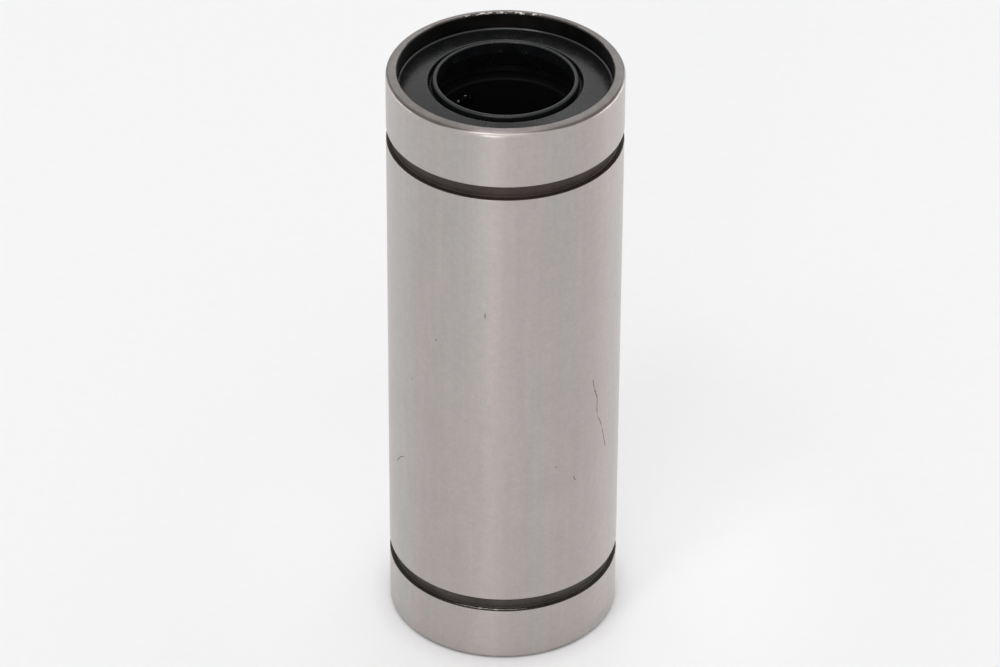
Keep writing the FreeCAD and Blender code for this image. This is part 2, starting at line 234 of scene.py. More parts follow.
def soft_box(name, azimuth, elevation, distance, size, radiance, colour=(1, 1, 1)):
    """An area lamp that faces the bearing. Its power is its radiance times pi times its area.

    Azimuth and elevation are in degrees, from the front. Distance and size are in metres.
    """
    lamp = bpy.data.lights.new(name, "AREA")
    lamp.shape = "RECTANGLE"
    lamp.size, lamp.size_y = size
    lamp.energy = radiance * math.pi * size[0] * size[1]
    lamp.color = colour
    turn = Matrix.Rotation(math.radians(azimuth), 4, "Z")
    rise = Matrix.Rotation(math.pi / 2 - math.radians(elevation), 4, "X")
    box = bpy.data.objects.new(name, lamp)
    box.matrix_world = LAMPS_FACE @ turn @ rise @ Matrix.Translation((0, 0, distance))
    box.visible_camera = False
    bpy.context.collection.objects.link(box)


soft_box("front_box", 0, 66, 0.65, (0.30, 0.40), 1.1)
soft_box("bright_box", -36, 63, 0.62, (0.08, 0.34), 3.7)
soft_box("band_box", -11.5, 12, 0.62, (0.13, 0.20), 5.5, (1.0, 0.94, 0.94))
soft_box("left_box", -115, 4, 0.70, (0.72, 0.10), 2.8)
soft_box("right_box", 120, 4, 0.70, (0.72, 0.10), 6.0)
soft_box("back_box", 178, 43, 0.70, (0.18, 0.10), 2.6)
soft_box("top_box", 180, 80, 0.70, (0.26, 0.16), 3.0)

# %% [markdown]
# ## How a turned piece becomes a mesh
#
# Cylinder, rims, grooves and seals were all turned or moulded round one axis. A flat outline of
# radius and height, carried round that axis, gives each of them. Real edges are never sharp,
# and a small curve on each is what catches the light, so the outline's corners are eased first.

# %% Ease the corners of an outline
def eased(outline, steps=3, hold=0.02):
    """Give an outline's corners a short curve. Each row is radius, height and easing, in mm.

    The curve leaves the incoming side one easing before the corner and meets the outgoing side
    one easing after it. At a share s of the way it is (1 - s)^2 of its start, 2 s (1 - s) of the
    corner and s^2 of its end. One more point a little before and after keeps the sides flat.
    """
    corner, ease = outline[:, :2], outline[:, 2]
    back = np.roll(corner, 1, axis=0) - corner
    on = np.roll(corner, -1, axis=0) - corner
    back /= np.linalg.norm(back, axis=1, keepdims=True)
    on /= np.linalg.norm(on, axis=1, keepdims=True)
    start = corner + back * ease[:, None]
    end = corner + on * ease[:, None]
    s = np.linspace(0, 1, steps)[None, :, None]
    curve = (1 - s) ** 2 * start[:, None] + 2 * s * (1 - s) * corner[:, None] + s**2 * end[:, None]
    before = (start + back * hold)[:, None]
    after = (end + on * hold)[:, None]
    rows = np.concatenate([before, curve, after], axis=1)
    keep = np.repeat(ease[:, None] > 0, steps + 2, axis=1)
    keep[:, (steps + 2) // 2] = True
    return rows[keep]

# %% Carry an outline round the axis
def carried_round(name, radius, height, angles):
    """A closed surface from arrays of radius and height, rows by columns, in mm.

    The point at row i and column j is (r cos a, r sin a, z) at the column's angle a. The last row
    joins the first and the last column joins the first, so the surface has no open edge.
    """
    rows, columns = radius.shape
    points = np.stack([radius * np.cos(angles), radius * np.sin(angles), height], axis=2)
    i, j = np.meshgrid(np.arange(rows), np.arange(columns), indexing="ij")
    i_on, j_on = (i + 1) % rows, (j + 1) % columns
    here, above = i * columns, i_on * columns
    quads = np.stack([here + j, here + j_on, above + j_on, above + j], axis=2)
    mesh = bpy.data.meshes.new(name)
    mesh.from_pydata(points.reshape(-1, 3) * MM, [], quads.reshape(-1, 4))
    mesh.shade_smooth()
    mesh.set_sharp_from_angle(angle=math.radians(50))
    piece = bpy.data.objects.new(name, mesh)
    bpy.context.collection.objects.link(piece)
    return piece


def volume_of(mesh):
    """The volume inside a closed mesh in mm3: a sixth of the sum of its triangles' triple products."""
    mesh.calc_loop_triangles()
    corners = np.empty(len(mesh.loop_triangles) * 3, dtype=np.int32)
    mesh.loop_triangles.foreach_get("vertices", corners)
    places = np.empty(len(mesh.vertices) * 3)
    mesh.vertices.foreach_get("co", places)
    a, b, c = places.reshape(-1, 3)[corners].reshape(-1, 3, 3).transpose(1, 0, 2) / MM
    return np.einsum("ij,ij->", a, np.cross(b, c)) / 6

# %% [markdown]
# ## The ground cylinder
#
# The sleeve is bearing steel. Its outside is ground to size, and two grooves near the ends take
# the circlips that hold it in a housing. Inside it has a seat for each seal, a groove for each
# retaining ring, a raceway for the balls under load and four channels for the balls going back.
# All of it but the channels is turned, so one outline carried round makes it. The channels are
# then a change of radius with the angle. Small dents and a burr, raised on the lower groove by
# a circlip, are changes of the same kind.

# %% The outline of the cylinder
LENGTH = (cad_high.z - cad_low.z) / MM
OUTER = (cad_high.x - cad_low.x) / 2 / MM

# Radii and heights above the lower end, all in mm
CHAMFER = 0.3
GROOVE_FLOOR = OUTER - 0.5
GROOVE_LOW, GROOVE_HIGH = 5.5, 6.8
BURR = GROOVE_FLOOR + 0.27
SEAT, SHOULDER, RING_GROOVE, RACEWAY, RELIEF = 9.5, 8.204, 8.954, 8.004, 9.052
SEAT_END, SHOULDER_END, RING_GROOVE_END = 3.52, 3.82, 4.68
FIRST_RELIEF, FIRST_RELIEF_END = 5.19, 8.402
SECOND_RELIEF, SECOND_RELIEF_END = 24.758, 27.97

outside = np.array([
    (OUTER - CHAMFER, 0, 0.24),
    (OUTER, CHAMFER, 0.16),
    (OUTER, CHAMFER + 0.3, 0),
    (OUTER, GROOVE_LOW - 0.3, 0),
    (OUTER, GROOVE_LOW - 0.05, 0.015),
    (OUTER - 0.05, GROOVE_LOW, 0.015),
    (BURR + 0.05, GROOVE_LOW, 0),
    (BURR, GROOVE_LOW, 0),
    (BURR - 0.05, GROOVE_LOW, 0),
    (GROOVE_FLOOR, GROOVE_LOW, 0.08),
    (GROOVE_FLOOR, GROOVE_HIGH, 0.08),
    (OUTER - 0.05, GROOVE_HIGH, 0.015),
    (OUTER, GROOVE_HIGH + 0.05, 0.015),
])
inside = np.array([
    (SEAT + 0.33, 0, 0),
    (SEAT + 0.26, 0, 0),
    (SEAT + 0.18, 0, 0),
    (SEAT + 0.10, 0, 0),
    (SEAT + 0.05, 0, 0.015),
    (SEAT, 0.05, 0.015),
    (SEAT, SEAT_END, 0),
    (SHOULDER, SEAT_END, 0),
    (SHOULDER, SHOULDER_END, 0),
    (RING_GROOVE, SHOULDER_END, 0),
    (RING_GROOVE, RING_GROOVE_END, 0),
    (RACEWAY, RING_GROOVE_END, 0),
    (RACEWAY, FIRST_RELIEF, 0),
    (RELIEF, FIRST_RELIEF, 0),
    (RELIEF, FIRST_RELIEF_END, 0),
    (RACEWAY, FIRST_RELIEF_END, 0),
    (RACEWAY, SECOND_RELIEF, 0),
    (RELIEF, SECOND_RELIEF, 0),
    (RELIEF, SECOND_RELIEF_END, 0),
    (RACEWAY, SECOND_RELIEF_END, 0),
])


def whole_outline(lower_outside, lower_inside):
    """Up the outside and down the inside, from the lower half's corners and their mirror image."""
    turned_over = np.array([1, -1, 1])
    lift = np.array([0, LENGTH, 0])
    upper_outside = lower_outside[::-1] * turned_over + lift
    upper_inside = lower_inside * turned_over + lift
    return np.concatenate([lower_outside, upper_outside, upper_inside, lower_inside[::-1]])


outline = eased(whole_outline(outside, inside), steps=4)
print("cylinder outline:", len(outline), "points")

# %% Channels and small dents
CHANNEL_CENTRE, CHANNEL_RADIUS = 7.85, 1.142
CHANNEL_ANGLES = np.radians(17.73 + 90 * np.arange(4))
CHANNEL_START = 6.796
COLUMNS = 560

# Points nearer to the axis than this are the bore's.
WALL_MIDDLE = 9.3

# How far a dent or the burr changes the surface at most, in mm
MOUTH_DENT_OUT, MOUTH_DENT_DOWN, CORNER_DENT, BURR_HEIGHT = 0.045, 0.03, 0.02, 0.05


def channel_reach(angles):
    """How far out the round channels reach at each angle, in mm, and 0 between them.

    A ray from the axis leaves a circle of radius c, whose centre is d away, at
    d cos t + sqrt(c^2 - d^2 sin^2 t), where t is the angle between the ray and the centre.
    """
    off = (angles[:, None] - CHANNEL_ANGLES + math.pi) % (2 * math.pi) - math.pi
    inside_root = CHANNEL_RADIUS**2 - (CHANNEL_CENTRE * np.sin(off)) ** 2
    meets = (inside_root > 0) & (np.abs(off) < math.pi / 2)
    reach = CHANNEL_CENTRE * np.cos(off) + np.sqrt(np.maximum(inside_root, 0))
    return np.where(meets, reach, 0).max(axis=1)


def dents(angles, count, middle, spread, seed):
    """Small dents along an edge, from 0 to 1: the deepest of many narrow bell curves.

    They lie round a middle angle and up to the spread from it, both in degrees.
    """
    dice = np.random.default_rng(seed)
    where = np.radians(middle + spread * dice.uniform(-1, 1, count))
    wide = np.radians(dice.uniform(0.3, 0.8, count))
    deep = dice.uniform(0.25, 1, count)
    off = (angles[:, None] - where + math.pi) % (2 * math.pi) - math.pi
    return (deep * np.exp(-((off / wide) ** 2))).max(axis=1)


angles = np.linspace(0, 2 * math.pi, COLUMNS, endpoint=False)
radius = np.repeat(outline[:, :1], COLUMNS, axis=1)
height = np.repeat(outline[:, 1:], COLUMNS, axis=1)
row_radius, row_height = outline.T
between_ends = (row_height > CHANNEL_START) & (row_height < LENGTH - CHANNEL_START)
in_channels = between_ends & (row_radius < WALL_MIDDLE)
radius[in_channels] = np.maximum(radius[in_channels], channel_reach(angles))

# The mouth's edge is dented outwards and downwards, and the outer chamfer's edge inwards.
mouth_dents = np.maximum(
    dents(angles, count=34, middle=92, spread=26, seed=3),
    0.5 * dents(angles, count=70, middle=0, spread=180, seed=5))
corner_dents = np.maximum(
    dents(angles, count=7, middle=-71, spread=6, seed=8),
    0.4 * dents(angles, count=40, middle=0, spread=180, seed=9))
mouth = (row_height > LENGTH - 0.2) & (row_radius < SEAT + 0.2)
mouth_top = mouth & (row_height > LENGTH - 0.025)
mouth_foot = mouth & (row_height < LENGTH - 0.025)
radius[mouth_top] += MOUTH_DENT_OUT * mouth_dents
height[mouth_foot] -= MOUTH_DENT_DOWN * mouth_dents

# A circlip has raised a fine burr on the lower groove's ledge, along a part of the front.
burr_row = (np.abs(row_radius - BURR) < 0.01) & (np.abs(row_height - GROOVE_LOW) < 0.01)
from_front = np.degrees(angles) - 270
burr_reach = np.clip((31 - np.abs(from_front + 6)) / 18, 0, 1)
burr = burr_reach * (0.7 + 0.3 * dents(angles, count=60, middle=-96, spread=30, seed=12))
height[burr_row] += BURR_HEIGHT * burr

chamfer_foot = LENGTH - CHAMFER
corner = (row_height > chamfer_foot - 0.1) & (row_height < chamfer_foot + 0.09)
radius[corner & (row_radius > OUTER - 0.1)] -= CORNER_DENT * corner_dents

cylinder = carried_round("ground_cylinder", radius, height, angles)
print("cylinder:", 2 * len(cylinder.data.polygons), "triangles")
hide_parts("outer_cylinder")
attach(cylinder, "housing")
print("cylinder:", round(volume_of(cylinder.data), 1), "mm3, CAD",
      round(volume_of(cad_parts["outer_cylinder"].data), 1))

# %% [markdown]
# ## The rubber seals
#
# Each end has a black rubber seal. Its face rises a little towards the shaft, then falls into a
# narrow moat. The moat lets the lip behind it bend and wipe the shaft. A thin bead stands
# where the rubber meets the steel seat. Seen from above, that bead shows as one fine bright line.
# The seal is turned in form, so it is one more outline carried round.

# %% Seal outlines
SEAL_RIM, SEAL_FACE, SEAL_BACK = 9.48, 1.52, 3.52
MOAT_OUTER, LIP_OUTER, LIP_BORE = 6.79, 6.34, 6.02
MOAT_DEPTH, LIP_LAND, LIP_FLARE = 0.50, 1.1, 0.5
SEAL_COLUMNS = 480
FACE_TOP = SEAL_FACE - 0.4
CREST = FACE_TOP - 0.3

seal_outline = np.array([
    (SEAL_RIM, SEAL_BACK, 0),
    (SEAL_RIM, SEAL_FACE + 0.06, 0.03),
    (SEAL_RIM - 0.02, SEAL_FACE - 0.104, 0.015),
    (SEAL_RIM - 0.06, SEAL_FACE - 0.104, 0.015),
    (SEAL_RIM - 0.16, SEAL_FACE, 0.02),
    (MOAT_OUTER + 0.05, FACE_TOP, 0.10),
    (MOAT_OUTER - 0.17, FACE_TOP + MOAT_DEPTH, 0.07),
    (MOAT_OUTER - 0.24, FACE_TOP + MOAT_DEPTH, 0.07),
    (LIP_OUTER + 0.06, CREST + 0.04, 0.18),
    (LIP_BORE, CREST, 0.16),
    (LIP_BORE, CREST + LIP_LAND, 0.08),
    (LIP_BORE + LIP_FLARE, SEAL_BACK, 0),
])


def make_seal(end):
    """One seal. The upper one's depths count down from the top, so its rows keep their order."""
    rows = eased(seal_outline, steps=5)
    if end == "lower":
        rows = rows[::-1]
    else:
        rows = np.stack([rows[:, 0], LENGTH - rows[:, 1]], axis=1)
    around = np.linspace(0, 2 * math.pi, SEAL_COLUMNS, endpoint=False)
    radius = np.repeat(rows[:, :1], SEAL_COLUMNS, axis=1)
    height = np.repeat(rows[:, 1:], SEAL_COLUMNS, axis=1)
    piece = carried_round(f"{end}_rubber_seal", radius, height, around)
    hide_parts(f"{end}_seal")
    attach(piece, "housing")
    print(piece.name, round(volume_of(piece.data), 1), "mm3, CAD",
          round(volume_of(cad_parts[f"{end}_seal"].data), 1))
    return piece


seals = [make_seal(end) for end in ("lower", "upper")]

# %% [markdown]
# ## Effects that several finishes share
#
# Turning, grinding and moulding all leave fine lines that run round the axis. One node group
# makes them from each point's radius and height, so that they circle a flat face as well as a
# wall. A second group gives slow clouds of tone, and a third gives sparse small spots.

# %% A helper for node groups
def start_group(name, inputs, outputs):
    """A shader node group with number inputs, given as name and default, and named outputs."""
    group = bpy.data.node_groups.new(name, "ShaderNodeTree")
    for title, default in inputs.items():
        socket = group.interface.new_socket(title, in_out="INPUT", socket_type="NodeSocketFloat")
        socket.default_value = default
    for title in outputs:
        group.interface.new_socket(title, in_out="OUTPUT", socket_type="NodeSocketFloat")
    given = group.nodes.new("NodeGroupInput").outputs
    result = group.nodes.new("NodeGroupOutput").inputs
    return group, given, result

# %% Lines round the axis
lines_round, given, result = start_group(
    "lines_round_the_axis", {"Lines per mm": 12.0, "Break up": 0.3}, ["Lines", "Fine lines"])
x, y, z = parts_of(lines_round, position(lines_round))
x_squared = maths(lines_round, "MULTIPLY", x, x)
y_squared = maths(lines_round, "MULTIPLY", y, y)
from_axis = maths(lines_round, "SQRT", maths(lines_round, "ADD", x_squared, y_squared))
per_metre = maths(lines_round, "MULTIPLY", given["Lines per mm"], 1000)
sway = maths(lines_round, "MULTIPLY", given["Break up"], 1000)
spot = add(lines_round, "ShaderNodeCombineXYZ", {
    0: maths(lines_round, "MULTIPLY", maths(lines_round, "ADD", from_axis, z), per_metre),
    1: maths(lines_round, "MULTIPLY", x, sway),
    2: maths(lines_round, "MULTIPLY", y, sway)}).outputs[0]
lines_round.links.new(noise(lines_round, spot, 1.0, 2.0), result["Lines"])
lines_round.links.new(noise(lines_round, spot, 2.7, 3.0), result["Fine lines"])

# %% Clouds of tone and small spots
clouds, given, result = start_group("clouds", {"Per mm": 0.3, "Contrast": 0.5}, ["Cloud"])
per_metre = maths(clouds, "MULTIPLY", given["Per mm"], 1000)
centred = maths(clouds, "SUBTRACT", noise(clouds, position(clouds), per_metre, 4.0, 0.6), 0.5)
spread = maths(clouds, "MULTIPLY", centred, maths(clouds, "MULTIPLY", given["Contrast"], 4))
clouds.links.new(maths(clouds, "ADD", spread, 0.5, clamp=True), result["Cloud"])

spots, given, result = start_group(
    "small_spots", {"Per mm": 2.0, "Size": 0.12, "Share": 0.2}, ["Spot"])
per_metre = maths(spots, "MULTIPLY", given["Per mm"], 1000)
cell_inputs = {"Vector": position(spots), "Scale": per_metre, "Randomness": 1.0}
cells = add(spots, "ShaderNodeTexVoronoi", cell_inputs)
near = maths(spots, "LESS_THAN", cells.outputs["Distance"], given["Size"])
chosen = parts_of(spots, cells.outputs["Color"])[0]
some = maths(spots, "LESS_THAN", chosen, given["Share"])
spots.links.new(maths(spots, "MULTIPLY", near, some), result["Spot"])

# %% Helpers for a finish
def new_finish(name):
    """A new material with its node tree and its main shader node."""
    material = bpy.data.materials.new(name)
    material.use_nodes = True
    return material, material.node_tree, material.node_tree.nodes["Principled BSDF"]


def use(tree, group, **values):
    """Place a shared group in a tree. Names are given with _ for a space."""
    made = add(tree, "ShaderNodeGroup", node_tree=group)
    for name, number in values.items():
        made.inputs[name.replace("_", " ")].default_value = number
    return made.outputs


def coat(tree, surface, colour, roughness):
    """Give the surface its colour and its roughness, each from a socket."""
    tree.links.new(colour, surface.inputs["Base Color"])
    tree.links.new(roughness, surface.inputs["Roughness"])


def rough_up(tree, surface, height, strength, distance):
    """Let a fine height, full at this distance in metres, bend the light on the surface."""
    inputs = {"Height": height, "Strength": strength, "Distance": distance}
    tree.links.new(add(tree, "ShaderNodeBump", inputs).outputs[0], surface.inputs["Normal"])


def brush_round(tree, surface, amount):
    """Smear reflections across lines that run round the axis, by an amount from 0 to 1."""
    surface.inputs["Anisotropic"].default_value = amount
    surface.inputs["Anisotropic Rotation"].default_value = 0.25
    round_axis = add(tree, "ShaderNodeTangent", direction_type="RADIAL", axis="Z")
    tree.links.new(round_axis.outputs[0], surface.inputs["Tangent"])

# %% [markdown]
# ## Ground steel
#
# The outside was ground between wheels, which leaves lines round the cylinder too fine to see
# one by one. They smear each reflection up and down the side, and that is what makes the long
# soft bands. The shader's anisotropy does this with one number. A few real marks lie on top:
# a thin wandering scratch, a short hooked one, some specks and a smudge near the foot.

# %% Where a point lies on the unrolled side
unrolled, given, result = start_group("unrolled_side", {}, ["Arc mm", "Height mm"])
x, y, z = parts_of(unrolled, position(unrolled))
turn = maths(unrolled, "ARCTAN2", x, maths(unrolled, "MULTIPLY", y, -1))
unrolled.links.new(maths(unrolled, "MULTIPLY", turn, OUTER), result["Arc mm"])
unrolled.links.new(maths(unrolled, "MULTIPLY", z, 1000), result["Height mm"])

# %% Marks on the side
def scratch(tree, arc, height, path, width):
    """A mask for a thin line through points of arc and height in mm.

    A curve turns the height into the line's arc at that height. The mask is 1 where the point's
    own arc is close to it, fades out towards the given width, and is 0 past both ends.
    """
    path = np.array(sorted(path, key=lambda point: point[1]))
    low, high = path[0, 1], path[-1, 1]
    left, right = path[:, 0].min() - 0.1, path[:, 0].max() + 0.1
    share = maths(tree, "DIVIDE", maths(tree, "SUBTRACT", height, low), high - low, clamp=True)
    line = add(tree, "ShaderNodeFloatCurve", {1: share})
    knots = line.mapping.curves[0].points
    shares = (path[:, 1] - low) / (high - low)
    levels = (path[:, 0] - left) / (right - left)
    for x, y in zip(shares[1:-1], levels[1:-1]):
        knots.new(x, y)
    knots[0].location = (0, levels[0])
    knots[-1].location = (1, levels[-1])
    line.mapping.update()
    there = between(tree, line.outputs[0], left, right)
    off = maths(tree, "ABSOLUTE", maths(tree, "SUBTRACT", arc, there))
    near = ramp(tree, off, width, width * 0.4)
    over_foot = maths(tree, "GREATER_THAN", height, low)
    under_top = maths(tree, "LESS_THAN", height, high)
    return maths(tree, "MULTIPLY", near, maths(tree, "MULTIPLY", over_foot, under_top))


def speck(tree, arc, height, spot, across, tall):
    """A mask for one soft oval spot, from its place and its half width and half height in mm."""
    x = maths(tree, "DIVIDE", maths(tree, "SUBTRACT", arc, spot[0]), across)
    y = maths(tree, "DIVIDE", maths(tree, "SUBTRACT", height, spot[1]), tall)
    squares = maths(tree, "ADD", maths(tree, "MULTIPLY", x, x), maths(tree, "MULTIPLY", y, y))
    return ramp(tree, maths(tree, "SQRT", squares), 1, 0.3)

# %% Where the marks are
# Each is a place on the unrolled side: millimetres round from the front, then up from the foot.
LONG_SCRATCH = [(9.02, 28.78), (9.34, 27.30), (9.65, 26.47), (9.69, 25.02), (10.37, 23.19),
                (11.18, 20.25)]
HOOKED_SCRATCH = [(-12.2, 17.83), (-11.74, 18.46), (-11.32, 18.87), (-10.76, 19.23)]
SMALL_HOOK = [(7.10, 18.70), (6.90, 18.90), (6.80, 19.25)]
SCRATCH_WIDTH, HOOK_WIDTH = 0.085, 0.06
SPECKS = [((-1.70, 38.03), 0.14, 0.42), ((-6.42, 34.23), 0.17, 0.14), ((-9.44, 28.56), 0.14, 0.12),
          ((12.77, 35.78), 0.12, 0.22), ((4.89, 20.99), 0.13, 0.13), ((9.42, 27.32), 0.14, 0.22),
          ((10.30, 23.35), 0.14, 0.14)]
SMUDGE = ((11.3, 1.1), 1.5, 0.5)

# %% The ground finish
ground_steel, tree, surface = new_finish("ground_steel")
grind = use(tree, lines_round, Lines_per_mm=9.0, Break_up=0.25)
cloud = use(tree, clouds, Per_mm=0.22, Contrast=0.45)["Cloud"]
mottle = use(tree, clouds, Per_mm=1.5, Contrast=0.5)["Cloud"]
grain = use(tree, clouds, Per_mm=6.0, Contrast=0.4)["Cloud"]
side = use(tree, unrolled)
arc, tall = side["Arc mm"], side["Height mm"]
stretch = {"Vector": position(tree), "Scale": (1500, 1500, 60)}
drawn_out = add(tree, "ShaderNodeMapping", stretch).outputs[0]
streaks = noise(tree, drawn_out, 1.0, 2.0)
tint = ramp(tree, noise(tree, drawn_out, 0.22, 1.0), 0.38, 0.62)
tone = blend(tree, tint, (0.562, 0.536, 0.509), (0.600, 0.533, 0.513))
clouded = blend(tree, between(tree, cloud, 0.0, 0.14), tone, (0.32, 0.295, 0.28))
lined = blend(tree, between(tree, grind["Fine lines"], 0.0, 0.34), clouded, (0.36, 0.34, 0.33))
mottled = blend(tree, between(tree, mottle, 0.0, 0.22), lined, (0.28, 0.255, 0.26))
grained = blend(tree, between(tree, grain, 0.0, 0.34), mottled, (0.29, 0.28, 0.27))
streaked = blend(tree, between(tree, streaks, 0.0, 0.24), grained, (0.29, 0.26, 0.25))

long_scratch = scratch(tree, arc, tall, LONG_SCRATCH, SCRATCH_WIDTH)
hooked_scratch = scratch(tree, arc, tall, HOOKED_SCRATCH, SCRATCH_WIDTH)
small_hook = scratch(tree, arc, tall, SMALL_HOOK, HOOK_WIDTH)
patchy = ramp(tree, mottle, 0.25, 0.6, 0.25, 0.85)
marks = maths(tree, "MAXIMUM", maths(tree, "MULTIPLY", long_scratch, patchy), hooked_scratch)
marks = maths(tree, "MAXIMUM", marks, small_hook)
for spot, across, upright in SPECKS:
    one_speck = maths(tree, "MULTIPLY", speck(tree, arc, tall, spot, across, upright), 0.6)
    marks = maths(tree, "MAXIMUM", marks, one_speck)
smudge = maths(tree, "MULTIPLY", speck(tree, arc, tall, *SMUDGE), 0.3)
marked = blend(tree, maths(tree, "MULTIPLY", marks, 0.9), streaked, (0.07, 0.06, 0.055))
smudged = blend(tree, smudge, marked, (0.30, 0.28, 0.29))

coat(tree, surface, smudged, between(tree, cloud, 0.33, 0.39))
surface.inputs["Metallic"].default_value = 1.0
brush_round(tree, surface, 0.75)
relief = maths(tree, "SUBTRACT", maths(tree, "MULTIPLY", grind["Lines"], 0.12), marks)
rough_up(tree, surface, relief, 0.35, 0.00002)

# %% [markdown]
# ## Turned and scaled steel
#
# The rims and chamfers were turned and then hardened, but not ground. They are darker and
# browner than the side, with fine circles. The grooves keep the nearly black scale of hardening,
# brown in the upper groove and greyer in the lower one. The seats and the bore are nearly black.
# Where a tool or a circlip rubbed, the scale is gone and bare steel shows, and its bright colour
# there is also a painted glint.

# %% Turned rims and chamfers
def turned_finish(name, dark, light, line, smoothest, directed):
    """A finish with fine circles, from the darkest and lightest steel and the tone of the lines.

    Its roughness starts at the smoothest, and directed says how far reflections are smeared.
    """
    material, tree, surface = new_finish(name)
    circles = use(tree, lines_round, Lines_per_mm=14.0, Break_up=0.4)
    cloud = use(tree, clouds, Per_mm=0.5, Contrast=0.6)["Cloud"]
    tone = blend(tree, cloud, dark, light)
    lined = blend(tree, between(tree, circles["Fine lines"], 0.0, 0.6), tone, line)
    coat(tree, surface, lined, between(tree, circles["Lines"], smoothest, smoothest + 0.12))
    surface.inputs["Metallic"].default_value = 1.0
    brush_round(tree, surface, directed)
    rough_up(tree, surface, circles["Lines"], 0.4, 0.00002)
    return material


rim_steel = turned_finish(
    "rim_steel", dark=(0.245, 0.226, 0.216), light=(0.345, 0.325, 0.314),
    line=(0.15, 0.135, 0.125), smoothest=0.34, directed=0.9)
chamfer_steel = turned_finish(
    "chamfer_steel", dark=(0.140, 0.118, 0.108), light=(0.200, 0.176, 0.164),
    line=(0.09, 0.077, 0.07), smoothest=0.24, directed=0.75)
mouth_steel = turned_finish(
    "mouth_steel", dark=(0.030, 0.024, 0.021), light=(0.060, 0.050, 0.045),
    line=(0.02, 0.017, 0.015), smoothest=0.24, directed=0.5)

# %% The chamfer's worn foot and painted highlight
# Below a certain depth under the end the chamfer has a light worn tone. That depth is least at
# the front, so the light tone there is also a painted highlight on the rim.
tree = chamfer_steel.node_tree
surface = tree.nodes["Principled BSDF"]
turned_steel = surface.inputs["Base Color"].links[0].from_socket
from_middle = maths(tree, "SUBTRACT", use(tree, unrolled)["Height mm"], LENGTH / 2)
below_end = maths(tree, "SUBTRACT", LENGTH / 2, maths(tree, "ABSOLUTE", from_middle))
to_back = parts_of(tree, position(tree))[1]
wear_and_highlight_start = ramp(tree, to_back, -0.0102, -0.0086, 0.08, 0.24)
worn_and_painted_bright = maths(tree, "DIVIDE", maths(tree, "SUBTRACT", below_end, wear_and_highlight_start), 0.07, clamp=True)
tree.links.new(blend(tree, worn_and_painted_bright, turned_steel, (0.44, 0.41, 0.39)), surface.inputs["Base Color"])

# %% The dented mouth
# Small nicks of bare steel lie in the dark mouth, more of them at the back. Their bright
# colour is also a painted highlight for the glints the lamps make there.
tree = mouth_steel.node_tree
surface = tree.nodes["Principled BSDF"]
turned_steel = surface.inputs["Base Color"].links[0].from_socket
to_back = parts_of(tree, position(tree))[1]
limit = ramp(tree, to_back, 0.0082, 0.0093, 0.68, 0.52)
nick_glints = noise(tree, position(tree), 2600.0, 3.0, 0.7)
bright = ramp(tree, maths(tree, "SUBTRACT", nick_glints, limit), 0.0, 0.06)
tree.links.new(blend(tree, bright, turned_steel, (0.60, 0.58, 0.56)), surface.inputs["Base Color"])

# %% Scale of hardening, and the nearly black bore
def scaled_finish(name, dark, light, line, metallic):
    """A nearly black finish with circles and pits, from its darkest and lightest tone."""
    material, tree, surface = new_finish(name)
    circles = use(tree, lines_round, Lines_per_mm=7.0, Break_up=0.3)
    cloud = use(tree, clouds, Per_mm=0.35, Contrast=0.8)["Cloud"]
    pits = use(tree, spots, Per_mm=3.5, Size=0.22, Share=0.25)["Spot"]
    tone = blend(tree, cloud, dark, light)
    lined = blend(tree, between(tree, circles["Fine lines"], 0.0, 0.5), tone, line)
    pitted = blend(tree, maths(tree, "MULTIPLY", pits, 0.5), lined, (0.008, 0.007, 0.006))
    coat(tree, surface, pitted, between(tree, cloud, 0.42, 0.55))
    surface.inputs["Metallic"].default_value = metallic
    rough_up(tree, surface, circles["Lines"], 0.3, 0.00003)
    return material


brown_scale = scaled_finish(
    "brown_scale", dark=(0.040, 0.029, 0.0255), light=(0.076, 0.059, 0.052),
    line=(0.030, 0.022, 0.019), metallic=0.5)
groove_scale = scaled_finish(
    "groove_scale", dark=(0.046, 0.038, 0.034), light=(0.092, 0.082, 0.076),
    line=(0.034, 0.029, 0.026), metallic=0.5)
# The seats and the bore get a nearly black finish.
dark_bore_steel = scaled_finish(
    "dark_bore_steel", dark=(0.009, 0.0075, 0.007), light=(0.021, 0.019, 0.018),
    line=(0.007, 0.006, 0.005), metallic=0.85)

# %% Bright worn edges, also a painted glint
worn_glint_steel, tree, surface = new_finish("worn_edge_glint_steel")
circles = use(tree, lines_round, Lines_per_mm=10.0, Break_up=2.5)
cloud = use(tree, clouds, Per_mm=1.6, Contrast=1.0)["Cloud"]
tone = blend(tree, cloud, (0.24, 0.215, 0.20), (0.42, 0.40, 0.385))
coat(tree, surface, tone, between(tree, circles["Lines"], 0.20, 0.36))
surface.inputs["Metallic"].default_value = 1.0
rough_up(tree, surface, circles["Lines"], 0.5, 0.00002)

# %% Give each face of the cylinder its finish
def face_middles(mesh):
    """Radius and height of every face's middle, in mm."""
    centres = np.empty(len(mesh.polygons) * 3)
    mesh.polygons.foreach_get("center", centres)
    centres = centres.reshape(-1, 3) / MM
    return np.hypot(centres[:, 0], centres[:, 1]), centres[:, 2]


